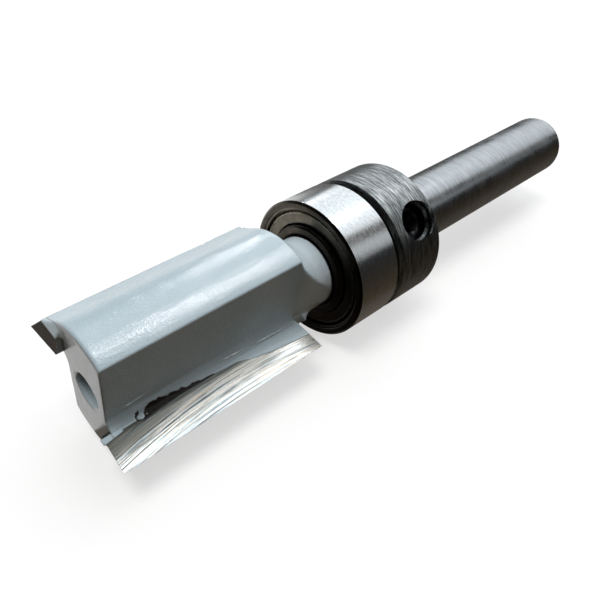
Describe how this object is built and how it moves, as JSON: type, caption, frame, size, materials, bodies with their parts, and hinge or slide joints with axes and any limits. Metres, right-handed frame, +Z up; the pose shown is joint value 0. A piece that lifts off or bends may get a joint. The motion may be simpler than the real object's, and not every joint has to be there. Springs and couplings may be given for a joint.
{
  "type": "router bit",
  "caption": "Straight flush-trim router bit with brazed carbide blades, a guide bearing on the shank and a stop collar.",
  "frame": {"origin": "on the tool's axis, at the middle of the length of shank that a collet grips", "axes": "+X along the tool's axis from the cutter towards the shank's free end, +Z up as the tool lies on a bench on its bearing and collar, +Y away from a viewer at the side"},
  "size_m": [0.0603, 0.0126, 0.0126],
  "materials": {
    "painted_steel": "semi-gloss pale blue-grey paint with orange peel; the shank and bearing seat are bare ground steel",
    "carbide": "ground tungsten carbide, streaked lengthwise",
    "painted_braze": "braze bead under the same pale paint",
    "bearing_steel": "finely ground and polished bearing steel",
    "shield_steel": "thin pressed steel, satin",
    "wire_steel": "drawn spring wire",
    "cage_steel": "pressed steel, satin",
    "ball_steel": "mirror polished",
    "washer_steel": "dark rolled steel",
    "collar_steel": "turned steel, fine circumferential lines",
    "black_steel": "black oxide"
  },
  "bodies": {
    "tool": {"cutter_body": "painted_steel", "carbide_blade_1": "carbide", "carbide_blade_2": "carbide", "braze_seam_1": "painted_braze", "braze_seam_2": "painted_braze", "bearing_inner_ring": "bearing_steel", "spacer_washer": "washer_steel", "stop_collar": "collar_steel", "set_screw": "black_steel"},
    "outer_ring": {"bearing_outer_ring": "bearing_steel", "front_shield": "shield_steel", "rear_shield": "shield_steel", "front_snap_wire": "wire_steel", "rear_snap_wire": "wire_steel"},
    "cage": {"ball_cage": "cage_steel"},
    "ball_1": {"ball_1": "ball_steel"},
    "ball_2": {"ball_2": "ball_steel"},
    "ball_3": {"ball_3": "ball_steel"},
    "ball_4": {"ball_4": "ball_steel"},
    "ball_5": {"ball_5": "ball_steel"},
    "ball_6": {"ball_6": "ball_steel"},
    "ball_7": {"ball_7": "ball_steel"},
    "ball_8": {"ball_8": "ball_steel"},
    "ball_9": {"ball_9": "ball_steel"},
    "ball_10": {"ball_10": "ball_steel"},
    "ball_11": {"ball_11": "ball_steel"}
  },
  "joints": [
    {"name": "outer_ring_spin", "type": "hinge", "parent": "tool", "child": "outer_ring", "pos_m": [-0.0215, 0, 0], "axis": [1, 0, 0], "continuous": true},
    {"name": "cage_spin", "type": "hinge", "parent": "tool", "child": "cage", "pos_m": [-0.0215, 0, 0], "axis": [1, 0, 0], "continuous": true},
    {"name": "ball_1_spin", "type": "hinge", "parent": "cage", "child": "ball_1", "pos_m": [-0.0215, -0.00066, 0.00472], "axis": [1, 0, 0], "continuous": true},
    {"name": "ball_2_spin", "type": "hinge", "parent": "cage", "child": "ball_2", "pos_m": [-0.0215, -0.00311, 0.00361], "axis": [1, 0, 0], "continuous": true},
    {"name": "ball_3_spin", "type": "hinge", "parent": "cage", "child": "ball_3", "pos_m": [-0.0215, -0.00457, 0.00136], "axis": [1, 0, 0], "continuous": true},
    {"name": "ball_4_spin", "type": "hinge", "parent": "cage", "child": "ball_4", "pos_m": [-0.0215, -0.00457, -0.00133], "axis": [1, 0, 0], "continuous": true},
    {"name": "ball_5_spin", "type": "hinge", "parent": "cage", "child": "ball_5", "pos_m": [-0.0215, -0.00313, -0.00359], "axis": [1, 0, 0], "continuous": true},
    {"name": "ball_6_spin", "type": "hinge", "parent": "cage", "child": "ball_6", "pos_m": [-0.0215, -0.00069, -0.00471], "axis": [1, 0, 0], "continuous": true},
    {"name": "ball_7_spin", "type": "hinge", "parent": "cage", "child": "ball_7", "pos_m": [-0.0215, 0.00196, -0.00434], "axis": [1, 0, 0], "continuous": true},
    {"name": "ball_8_spin", "type": "hinge", "parent": "cage", "child": "ball_8", "pos_m": [-0.0215, 0.004, -0.00259], "axis": [1, 0, 0], "continuous": true},
    {"name": "ball_9_spin", "type": "hinge", "parent": "cage", "child": "ball_9", "pos_m": [-0.0215, 0.00476, -0.00002], "axis": [1, 0, 0], "continuous": true},
    {"name": "ball_10_spin", "type": "hinge", "parent": "cage", "child": "ball_10", "pos_m": [-0.0215, 0.00401, 0.00256], "axis": [1, 0, 0], "continuous": true},
    {"name": "ball_11_spin", "type": "hinge", "parent": "cage", "child": "ball_11", "pos_m": [-0.0215, 0.00199, 0.00433], "axis": [1, 0, 0], "continuous": true}
  ],
  "couplings": [
    {"joint": "cage_spin", "follows": "outer_ring_spin", "ratio": 0.58333},
    {"joint": "ball_1_spin", "follows": "outer_ring_spin", "ratio": 2.9167},
    {"joint": "ball_2_spin", "follows": "outer_ring_spin", "ratio": 2.9167},
    {"joint": "ball_3_spin", "follows": "outer_ring_spin", "ratio": 2.9167},
    {"joint": "ball_4_spin", "follows": "outer_ring_spin", "ratio": 2.9167},
    {"joint": "ball_5_spin", "follows": "outer_ring_spin", "ratio": 2.9167},
    {"joint": "ball_6_spin", "follows": "outer_ring_spin", "ratio": 2.9167},
    {"joint": "ball_7_spin", "follows": "outer_ring_spin", "ratio": 2.9167},
    {"joint": "ball_8_spin", "follows": "outer_ring_spin", "ratio": 2.9167},
    {"joint": "ball_9_spin", "follows": "outer_ring_spin", "ratio": 2.9167},
    {"joint": "ball_10_spin", "follows": "outer_ring_spin", "ratio": 2.9167},
    {"joint": "ball_11_spin", "follows": "outer_ring_spin", "ratio": 2.9167}
  ]
}
